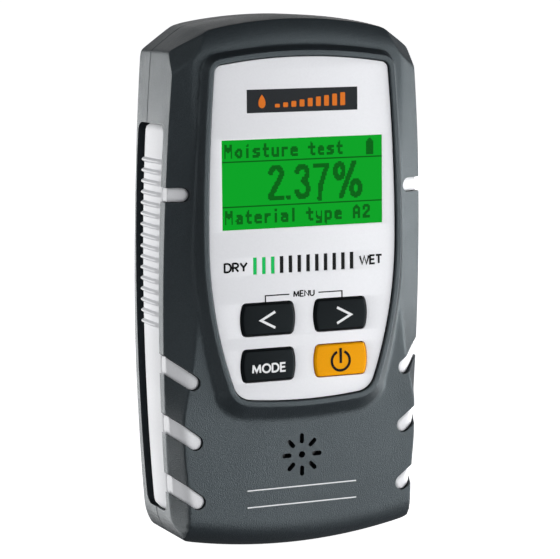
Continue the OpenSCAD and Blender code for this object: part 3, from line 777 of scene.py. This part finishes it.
def stroke_word(name, word, cx, cz, height, pen, surface, squeeze, space):
    """Printed capitals drawn with a flat pen, merged to one thin mesh."""
    k, thick = height / 10, 0.04
    x = -(sum(CAPITALS[c][0] for c in word) + space * (len(word) - 1)) / 2
    strokes = []
    for c in word:
        width, lines = CAPITALS[c]
        for line in lines:
            p = [(cx + (x + q[0]) * k * squeeze, cz + (q[1] - 5) * (height - pen) / 10) for q in line]
            strokes.append(prism("pen", strip_points(p, pen), -thick, thick + 0.001 * len(strokes)))
        x += width + space
    slab = prism("slab", rect(cx, cz, 200, 100), -thick * 0.99, thick * 0.9)
    ob = boolean(join(name, strokes), slab, "INTERSECT", heal=True)
    drape(ob, surface)
    return ob


def quads(n, m):
    """Faces of a grid of n rows of m points."""
    return [(i * m + j, i * m + j + 1, (i + 1) * m + j + 1, (i + 1) * m + j)
            for i in range(n - 1) for j in range(m - 1)]


def border(n, m):
    """Points round the border of a grid of n rows of m points."""
    return ([i * m for i in range(n)] + [(n - 1) * m + j for j in range(1, m)]
            + [i * m + m - 1 for i in range(n - 2, -1, -1)] + list(range(m - 2, 0, -1)))


def edge_drop(q):
    """Drop of a rounded edge of radius 0.5 at distance q from its brink."""
    return 0.5 - math.sqrt(max(0, 0.25 - (0.5 - q) ** 2)) if q < 0.5 else 0.0


def rib_height(z):
    """Height of the ribs at level z, from 0 to 1."""
    near = min(abs(z - (RIB_Z + k * RIB_P)) for k in range(RIB_N))
    return min(1.0, 1.5 * (1 - near / RIB_HW)) if near < RIB_HW else 0.0


def make_strip(side):
    """Ribbed strip in the side window, crowned across, with round edges and corners."""
    z0, z1 = WIN_Z0 + 0.2, WIN_Z1 - 0.2
    ya, yb, corner = WIN_Y0 + 0.15, GRIP_Y1, WIN_R - 0.2
    ribs = [RIB_Z + i * RIB_P + np.linspace(-RIB_HW, RIB_HW, 9) for i in range(RIB_N)]
    zs = np.unique(np.concatenate([np.linspace(z0, z1, 120)] + ribs))
    near_edge = np.array([0, 0.05, 0.15, 0.3, 0.5])
    ys = np.concatenate([ya + near_edge, np.linspace(ya + 1.1, yb - 1.1, 14), yb - near_edge[::-1]])
    out = side_x(zs, 0.35)
    grid = np.zeros((len(zs), len(ys), 3))
    for i, z in enumerate(zs):
        rib, lean = rib_height(z), window_front(z) - WIN_Y0
        past = max(z0 + corner - z, 0, z - (z1 - corner))
        pull = corner - math.sqrt(max(corner ** 2 - past ** 2, 0))
        for j, y in enumerate(ys):
            t = (y - ya) / (yb - ya)
            drop = max(edge_drop(min(y - ya, yb - y)), edge_drop(min(z - z0, z1 - z)))
            crown = 0.35 * (1 - ((y - (ya + yb) / 2) / ((yb - ya) / 2)) ** 2)
            rise = (0.65 + 0.5 * drop) * rib * min(1.0, max(0.0, (y - ya - 1.0) / 0.5))
            yy = y + lean * (1 - t) + 0.35 * rib * (t > 0.85)
            if past > 0:
                yy = ya + lean + pull + t * (yb - ya - lean - 2 * pull)
            grid[i, j] = (out[i] - 0.4 + crown - drop + rise, yy, z)
    n, m = len(zs), len(ys)
    loop = border(n, m)
    top = grid.reshape(-1, 3)
    low = top[loop]
    low[:, 0] = out[np.array(loop) // m] - 2.4
    faces, base = quads(n, m), n * m
    for a in range(len(loop)):
        b = (a + 1) % len(loop)
        faces.append((loop[a], loop[b], base + b, base + a))
    faces.append(tuple(range(base, base + len(loop))))
    return mesh_object("strip", np.concatenate([top, low]) * np.array([side, 1, 1]), faces)


def make_finger(i, side):
    """One finger: a rounded bar that follows the front, 0.75 mm below it, then turns down the side."""
    tip, slant, half = finger(i)
    along, across = turned(np.array([[1.0, 0.0], [0.0, 1.0]]), slant)

    def length_to_side(v):
        lo, hi = 0.0, 20.0
        for _ in range(40):
            mid = (lo + hi) / 2
            p = tip + along * mid + across * v
            lo, hi = (mid, hi) if p[0] < side_x(p[1], 0.8) else (lo, mid)
        return lo

    def front(p, soft=0.4):
        return float(body_front(p[:1], p[1:], soft)[0])

    rows = []
    for v in np.sin(np.linspace(-np.pi / 2, np.pi / 2, 21)) * half:
        start, end = -math.sqrt(max(half * half - v * v, 0)), length_to_side(v)
        flank = (abs(v) / half) ** 4
        line = []
        for t in np.linspace(0, 1, 30) ** 1.6:
            s = start + (end - 0.3 - start) * t
            p = tip + along * s + across * v
            near_tip = max(0.0, 1 - (s - start) / 1.3) ** 3
            line.append((p[0], front(p, 3.0) - 0.2 + 0.75 + 0.35 * max(flank, near_tip), p[1]))
        p = tip + along * end + across * v
        last = line[-1]
        x, y, z = p[0], max(front(p) + 1.1, last[1] + 0.25), p[1]
        line += [(last[0] * 0.35 + x * 0.65, last[1] * 0.65 + y * 0.35, (last[2] + z) / 2), (x, y, z)]
        for t in (0.25, 0.5, 0.75, 1.0):
            line.append((x - 0.12 * flank, y + (window_front(z) + 1.0 - y) * t, z))
        rows.append(line)
    top = np.array(rows)
    n, m = top.shape[:2]
    low = top.copy()
    low[:, :, 1] += 1.1
    low[:, -6:, 0] -= 1.0
    low[:, -6:, 1] = np.minimum(low[:, -6:, 1], window_front(low[:, -6:, 2]) + 1.0)
    base, loop, faces = n * m, border(n, m), quads(n, m)
    faces += [tuple(base + k for k in q[::-1]) for q in faces]
    faces += [(a, base + a, base + b, b) for a, b in zip(loop, loop[1:] + loop[:1])]
    return mesh_object("finger", np.concatenate([top, low]).reshape(-1, 3) * np.array([side, 1, 1]), faces)


def make_grip(side):
    """Strip and fingers of one side as one piece."""
    grip = join("grip_" + ("right" if side > 0 else "left") + "_white",
                [make_strip(side)] + [make_finger(i, side) for i in range(4)])
    outward(grip)
    shade(grip, 38)
    return grip


# ---------------- materials

def new_material(name):
    m = bpy.data.materials.new(name)
    m.use_nodes = True
    return m, m.node_tree.nodes["Principled BSDF"]


def noise(m, scale, detail=2.0, rough=0.5):
    """Noise over the object's own space."""
    nodes = m.node_tree.nodes
    tex = nodes.new("ShaderNodeTexNoise")
    for key, value in (("Scale", scale), ("Detail", detail), ("Roughness", rough)):
        tex.inputs[key].default_value = value
    m.node_tree.links.new(nodes.new("ShaderNodeTexCoord").outputs["Object"], tex.inputs["Vector"])
    return tex.outputs["Fac"]


def spread(m, source, low, high, span=(0.3, 0.7)):
    """Source mapped from its usual span to low and high."""
    node = m.node_tree.nodes.new("ShaderNodeMapRange")
    for key, value in zip(("From Min", "From Max", "To Min", "To Max"), span + (low, high)):
        node.inputs[key].default_value = value
    m.node_tree.links.new(source, node.inputs["Value"])
    return node.outputs["Result"]


def shaded(m, color, factor):
    """Colour made lighter and darker by a factor."""
    node = m.node_tree.nodes.new("ShaderNodeVectorMath")
    node.operation = "SCALE"
    node.inputs[0].default_value = color
    m.node_tree.links.new(factor, node.inputs["Scale"])
    return node.outputs["Vector"]


def plastic(name, color, rough, grain=0.0, size=900, vary=0.06, bump=0.12, spec=0.5, gloss=0.06, glow=None,
            power=0.0, tint=(1, 1, 1)):
    """Moulded plastic or rubber: fine grain in the bump, slight colour and gloss variation, own light."""
    m, b = new_material(name)
    nodes, links = m.node_tree.nodes, m.node_tree.links
    b.inputs["Specular IOR Level"].default_value = spec
    b.inputs["Specular Tint"].default_value = tint + (1,)
    fine, wide = noise(m, size, 3.0, 0.6), noise(m, 45.0, 4.0)
    both = nodes.new("ShaderNodeMath")
    both.operation = "MULTIPLY"
    links.new(spread(m, wide, 1 - vary, 1 + vary), both.inputs[0])
    links.new(spread(m, fine, 1 - grain, 1 + grain), both.inputs[1])
    links.new(shaded(m, srgb(*color), both.outputs["Value"]), b.inputs["Base Color"])
    links.new(spread(m, wide, rough - gloss, rough + gloss), b.inputs["Roughness"])
    relief = nodes.new("ShaderNodeBump")
    relief.inputs["Strength"].default_value = bump
    relief.inputs["Distance"].default_value = 0.0001 + 0.0002 * grain
    links.new(fine, relief.inputs["Height"])
    links.new(relief.outputs["Normal"], b.inputs["Normal"])
    if glow:
        b.inputs["Emission Color"].default_value = srgb(*glow) + (1,)
        b.inputs["Emission Strength"].default_value = power
    return m


def metal(name, color, rough):
    """Bare metal with a little variation in colour and gloss."""
    m, b = new_material(name)
    b.inputs["Metallic"].default_value = 1.0
    grain = noise(m, 700.0)
    m.node_tree.links.new(shaded(m, color, spread(m, grain, 0.85, 1.1, (0.0, 1.0))), b.inputs["Base Color"])
    m.node_tree.links.new(spread(m, grain, rough - 0.08, rough + 0.12, (0.0, 1.0)), b.inputs["Roughness"])
    return m


def srgb(*channels):
    """Linear colour from display values of 0 to 255."""
    scaled = [c / 255 for c in channels]
    return tuple(c / 12.92 if c <= 0.04045 else ((c + 0.055) / 1.055) ** 2.4 for c in scaled)


GREY = plastic("moulded_grey", (33, 38, 42), 0.43, grain=0.35, size=3200, vary=0.05, bump=0.75, spec=0.62,
               tint=(0.8, 0.94, 1.0))
WHITE = plastic("faceplate_white", (233, 234, 238), 0.42, grain=0.015, size=1500, vary=0.012, bump=0.05)
GRIP = plastic("grip_white", (237, 238, 241), 0.5, grain=0.02, size=1800, vary=0.02, bump=0.15, spec=0.4)
BLACK = plastic("satin_black", (30, 34, 38), 0.4, grain=0.05, vary=0.05, bump=0.1)
BADGE = plastic("badge_black", (30, 34, 38), 0.5, grain=0.04, vary=0.04, bump=0.08, spec=0.12)
KEY_BLACK = plastic("key_black", (6, 8, 10), 0.45, grain=0.04, size=2200, vary=0.04, spec=0.1,
                    tint=(0.75, 0.92, 1.0))
KEY_ORANGE = plastic("key_orange", (246, 165, 0), 0.5, grain=0.03, size=2200, vary=0.03, bump=0.1, spec=0.05)
INK_WHITE = plastic("print_white", (235, 236, 238), 0.5, vary=0.01, bump=0.02)
INK_BLACK = plastic("print_black", (10, 11, 13), 0.5, vary=0.02, bump=0.02, spec=0.08)
INK_ORANGE = plastic("print_orange", (226, 118, 30), 0.5, vary=0.03, bump=0.02, spec=0.1)
GREEN = plastic("display_green", (0, 40, 8), 0.6, vary=0.03, bump=0.01, spec=0.04, gloss=0.02,
                glow=(0, 164, 34), power=0.92)
GREEN_DARK = plastic("display_ink", (0, 20, 4), 0.6, vary=0.03, bump=0.01, spec=0.04, gloss=0.02,
                     glow=(0, 96, 16), power=0.9)
LIT = plastic("bar_lit", (0, 70, 30), 0.4, vary=0.5, bump=0.02, spec=0.1, glow=(10, 190, 90), power=0.8)
BAR_DARK = plastic("bar_dark", (12, 13, 15), 0.45, vary=0.05, bump=0.02, spec=0.08)
STEEL = metal("screw_steel", (0.62, 0.62, 0.64), 0.32)
SPRING = metal("spring_metal", (0.72, 0.7, 0.66), 0.3)
BOARD = plastic("board_green", (18, 92, 52), 0.35, grain=0.1, vary=0.1, bump=0.1)
CHIP = plastic("chip_black", (26, 26, 28), 0.5, grain=0.1, vary=0.08, bump=0.2)
CELL = plastic("display_cell", (150, 165, 150), 0.2, vary=0.04, bump=0.02)
GUIDE = plastic("light_guide", (210, 235, 210), 0.3, vary=0.03, bump=0.02)
WRAP = plastic("battery_wrap", (142, 106, 44), 0.28, grain=0.05, vary=0.1, bump=0.05)
RUBBER = plastic("pad_rubber", (34, 35, 37), 0.62, grain=0.12, size=1700, vary=0.08, bump=0.5, spec=0.3)
FOAM = plastic("foam", (58, 58, 62), 0.95, grain=0.3, size=800, vary=0.1, bump=0.9, spec=0.1)
FILM = plastic("flex_film", (196, 128, 46), 0.3, grain=0.05, vary=0.08, bump=0.05)


def paint(ob, mat):
    ob.data.materials.clear()
    ob.data.materials.append(mat)


def place(ob, mat, body, slot):
    """Finishes a new piece: its material, its height over the floor and its body; slot is not used."""
    paint(ob, mat)
    ob.data.transform(Matrix.Translation((0, 0, FOOT_Z * MM)))
    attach(ob, body)
    return ob


# ---------------- camera and light

def set_camera(look_at, yaw, pitch, roll, distance):
    """Camera that sees look_at from the left and above, angles in degrees."""
    data = bpy.data.cameras.new("camera")
    data.sensor_width, data.lens = 36.0, 159.6343
    data.clip_start, data.clip_end = 0.01, 100.0
    camera = link(bpy.data.objects.new("camera", data))
    yaw, pitch, roll = math.radians(yaw), math.radians(pitch), math.radians(roll)
    back = Vector((-math.sin(yaw) * math.cos(pitch), -math.cos(yaw) * math.cos(pitch), -math.sin(pitch)))
    right = (-back).cross(Vector((0, 0, 1))).normalized()
    up = right.cross(-back)
    right, up = right * math.cos(roll) + up * math.sin(roll), up * math.cos(roll) - right * math.sin(roll)
    spot = Vector(look_at) + back * distance
    camera.matrix_world = Matrix((*zip(right, up, back, spot), (0, 0, 0, 1)))
    bpy.context.scene.camera = camera


def softbox(name, toward, distance, size, radiance):
    """Rectangular softbox of a given brightness, facing the object from a direction."""
    middle = Vector((0, 0, 0.08))
    data = bpy.data.lights.new(name, "AREA")
    data.shape, data.size, data.size_y = "RECTANGLE", size[0], size[1]
    data.energy = radiance * math.pi * size[0] * size[1]
    ob = link(bpy.data.objects.new(name, data))
    ob.location = middle + Vector(toward).normalized() * distance
    ob.rotation_mode = "QUATERNION"
    ob.rotation_quaternion = (middle - ob.location).to_track_quat("-Z", "Y")


def light_world():
    """Pure white behind the object, and a dim pale surround for what it reflects."""
    world = bpy.data.worlds.new("studio")
    bpy.context.scene.world = world
    world.use_nodes = True
    nodes, links = world.node_tree.nodes, world.node_tree.links
    surround, seen = nodes["Background"], nodes.new("ShaderNodeBackground")
    surround.inputs["Color"].default_value = (0.9, 0.92, 0.95, 1)
    surround.inputs["Strength"].default_value = 0.12
    seen.inputs["Color"].default_value = (1, 1, 1, 1)
    both = nodes.new("ShaderNodeMixShader")
    links.new(nodes.new("ShaderNodeLightPath").outputs["Is Camera Ray"], both.inputs["Fac"])
    links.new(surround.outputs["Background"], both.inputs[1])
    links.new(seen.outputs["Background"], both.inputs[2])
    links.new(both.outputs["Shader"], nodes["World Output"].inputs["Surface"])


def make_floor():
    """White floor just under the object, seen by the camera only."""
    bm = bmesh.new()
    bmesh.ops.create_grid(bm, x_segments=2, y_segments=2, size=30)
    mesh = bpy.data.meshes.new("floor")
    bm.to_mesh(mesh)
    bm.free()
    floor = link(bpy.data.objects.new("floor", mesh))
    floor.location.z = cad_box[0].z - 0.0002
    white, b = new_material("floor_white")
    for key, value in (("Base Color", (0.85, 0.85, 0.86, 1)), ("Roughness", 0.7), ("Specular IOR Level", 0.1),
                       ("Emission Color", (1, 1, 1, 1)), ("Emission Strength", 0.98)):
        b.inputs[key].default_value = value
    paint(floor, white)
    floor.visible_diffuse = floor.visible_glossy = floor.visible_shadow = False


set_camera((-0.007454, -0.0165, 0.07942), 23.541, -7.295, -0.477, 0.70964)
softbox("front_right", (0.62, -0.76, -0.15), 1.2, (0.9, 0.8), 4.7)
softbox("right", (0.96, -0.2, -0.2), 1.2, (0.75, 0.75), 7.4)
softbox("upper_left", (-0.85, -0.35, 0.4), 1.3, (0.8, 0.7), 2.5)
softbox("lower_left", (-0.85, -0.35, -0.55), 1.3, (0.8, 0.8), 0.8)
softbox("back_left", (-0.45, 0.87, -0.15), 1.5, (1.2, 0.9), 4.2)
softbox("back_top", (-0.1, 0.88, 0.5), 1.5, (1.0, 0.5), 0.65)
softbox("back_right", (0.5, 0.86, 0.12), 1.5, (1.2, 1.0), 0.8)
light_world()
make_floor()
bpy.context.scene.view_settings.view_transform = "Standard"

# ---------------- housing, faceplate and keys

for make, node in ((make_front_shell, "front_shell"), (make_rear_shell, "rear_shell")):
    half = place(make(), GREY, "meter", "grey_plastic")
    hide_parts(node)
place(make_battery_bay(), GREY, "meter", "grey_plastic")
plate = place(make_faceplate(), WHITE, "meter", "white_plastic")
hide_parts("front_panel")
for name, (kx, kz) in KEY_SPOTS.items():
    look = (KEY_ORANGE, "orange_key") if name == "key_power" else (KEY_BLACK, "black_key")
    cap = place(make_key(name + "_cap", kx, kz), look[0], name, look[1])
    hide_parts(name)


# ---------------- printed marks

PRINT_LIFT = 0.03


def on_key(kx, kz):
    """Surface of the key about (kx, kz)."""
    return lambda x, z: KEY_Y - PRINT_LIFT + key_height(x - kx, z - kz)


def on_panel(x, z, lift=PRINT_LIFT):
    return 0 * x + FP_Y - lift


def on_badge(x, z):
    return on_panel(x, z, 0.08)


def on_lcd(x, z):
    return on_panel(x, z, 0.01)


def on_lower(x, z):
    return body_front(x, z) - PRINT_LIFT


def arrow_mark(name, flip, shift):
    """Arrowhead on a key, pointing to -X, or to X with flip -1."""
    kx, kz = KEY_SPOTS[name]
    tip = np.array([[2.2, 2.3], [-2.2, 0.0], [2.2, -2.3]]) * np.array([flip, 1]) + (kx + shift, kz - 0.25)
    return decal(name + "_arrow", [strip_points(tip, 0.72)], on_key(kx, kz))


def power_mark():
    """Open ring with a stroke from its top."""
    kx, kz = KEY_SPOTS["key_power"]
    pen, gap = 0.74, 24
    opened = strip_points(arc((kx - 0.2, kz - 0.3), 2.85, 90 + gap, 90 + 360 - gap, 56), pen)
    stroke = rect(kx - 0.2, kz + 1.2, pen, 4.4)
    return join("key_power_symbol", [decal("mark", [p], on_key(kx, kz)) for p in (opened, stroke)])


def faceplate_marks():
    """Words beside the bars and over the keys, with a bracket to the two upper keys."""
    line_z, word_z = 72.5, BAR_Z - 0.1
    brackets = [[(s * 12.05, line_z - 2.1), (s * 12.05, line_z), (s * 4.6, line_z)] for s in (-1, 1)]
    marks = [decal("mark", [strip_points(p, 0.32)], on_panel, cell=0) for p in brackets]
    for word, cx, cz, height, pen, squeeze, space in (
            ("MENU", 0.0, line_z, 1.95, 0.36, 0.95, 2.4), ("DRY", -21.1, word_z, 2.95, 0.56, 0.95, 2.0),
            ("WET", 21.3, word_z, 2.95, 0.56, 0.92, 1.6)):
        marks.append(stroke_word("mark", word, cx, cz, height, pen, on_panel, squeeze, space))
    return join("faceplate_print", marks)


def badge_marks():
    """Generic mark on the badge: a drop and a row of rising bars."""
    t = np.linspace(0.01, 2 * math.pi - 0.01, 40)
    drop = np.stack([1.35 * np.sin(t) * np.sin(t / 2) ** 0.8 - 12.6, 1.9 * np.cos(t) + BADGE_Z - 0.1], 1)
    x0, z0, pitch = -8.6, BADGE_Z - 1.9, 2.55
    shapes = [drop] + [rounded_rect(x0 + k * pitch, z0, x0 + 1.5 + k * pitch, z0 + 1.0 + 0.34 * k, 0.25, 3)
                       for k in range(9)]
    return join("badge_print", [decal("mark", [p], on_badge, cell=0) for p in shapes])


def display_cells():
    """Dark cells of the display: two small lines, a large number, two rules and a battery sign."""
    cells = set()
    for words, x0, z0 in (("Moisture test", 1.5, 51), ("Material type A2", 1.5, 4)):
        for c in words:
            pen_cells(CELLS[c][1], 1.0, x0, z0, cells)
            x0 += CELLS[c][0] + 1.9
    for c, x0 in (("2", 36), (".", 50), ("3", 57), ("7", 72), ("%", 88)):
        pen_cells(BIG[c], 1.85, x0, 19.5, cells)
    filled = [(0, DISPLAY_DOTS[0], 16, 17), (0, DISPLAY_DOTS[0], 48, 49)]
    filled += [(115, 121, 50, 60), (116, 120, 60, 61), (117, 119, 61, 62)]
    for x0, x1, z0, z1 in filled:
        cells |= {(ix, iz) for ix in range(x0, x1) for iz in range(z0, z1)}
    return cells


place(arrow_mark("key_left", 1, -0.2), INK_WHITE, "key_left", "white_plastic")
place(arrow_mark("key_right", -1, 0.9), INK_WHITE, "key_right", "white_plastic")
kx, kz = KEY_SPOTS["key_mode"]
place(stroke_word("key_mode_word", "MODE", kx, kz - 0.8, 2.85, 0.54, on_key(kx, kz), 0.98, 2.4), INK_WHITE,
      "key_mode", "white_plastic")
place(power_mark(), INK_BLACK, "key_power", "black_plastic")
place(faceplate_marks(), INK_BLACK, "meter", "black_plastic")
place(badge_marks(), INK_ORANGE, "meter", "orange_key")
lines = [decal("mark", [rect(0, z, 34.6, 0.34)], on_lower, cell=1.5) for z in (15.75, 10.8)]
place(join("lower_print", lines), INK_WHITE, "meter", "white_plastic")
place(cells_mesh("display_image", display_cells(), on_lcd), GREEN_DARK, "meter", "green_display")

for side, node in ((-1, "grip_left"), (1, "grip_right")):
    grip = place(make_grip(side), GRIP, "meter", "white_soft")
    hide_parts(node)

# ---------------- CAD nodes that stay: material and width of the rounded edge

looks = {"badge_plate": (BADGE, 0.06), "display_window": (GREEN, 0.0), "lcd_module": (CELL, 0.15),
         "backlight": (GUIDE, 0.15), "bars_lit": (LIT, 0.05), "bars_dark": (BAR_DARK, 0.05),
         "key_domes": (SPRING, 0.0), "main_board": (BOARD, 0.0), "board_chips": (CHIP, 0.12),
         "buzzer": (BLACK, 0.2), "battery": (WRAP, 0.9), "battery_terminals": (SPRING, 0.15),
         "battery_snap": (BLACK, 0.3), "battery_door": (GREY, 0.25), "door_foam": (FOAM, 0.1),
         "sensor_pads": (RUBBER, 0.22), "sensor_board": (BOARD, 0.0), "sensor_link": (FILM, 0.0),
         "housing_screws": (STEEL, 0.15), "board_screws": (STEEL, 0.15)}
for name, (mat, width) in looks.items():
    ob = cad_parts[name]
    for s in ob.material_slots:
        s.material = mat
    if not ob.material_slots:
        ob.data.materials.append(mat)
    if width:
        bevel(ob, width)
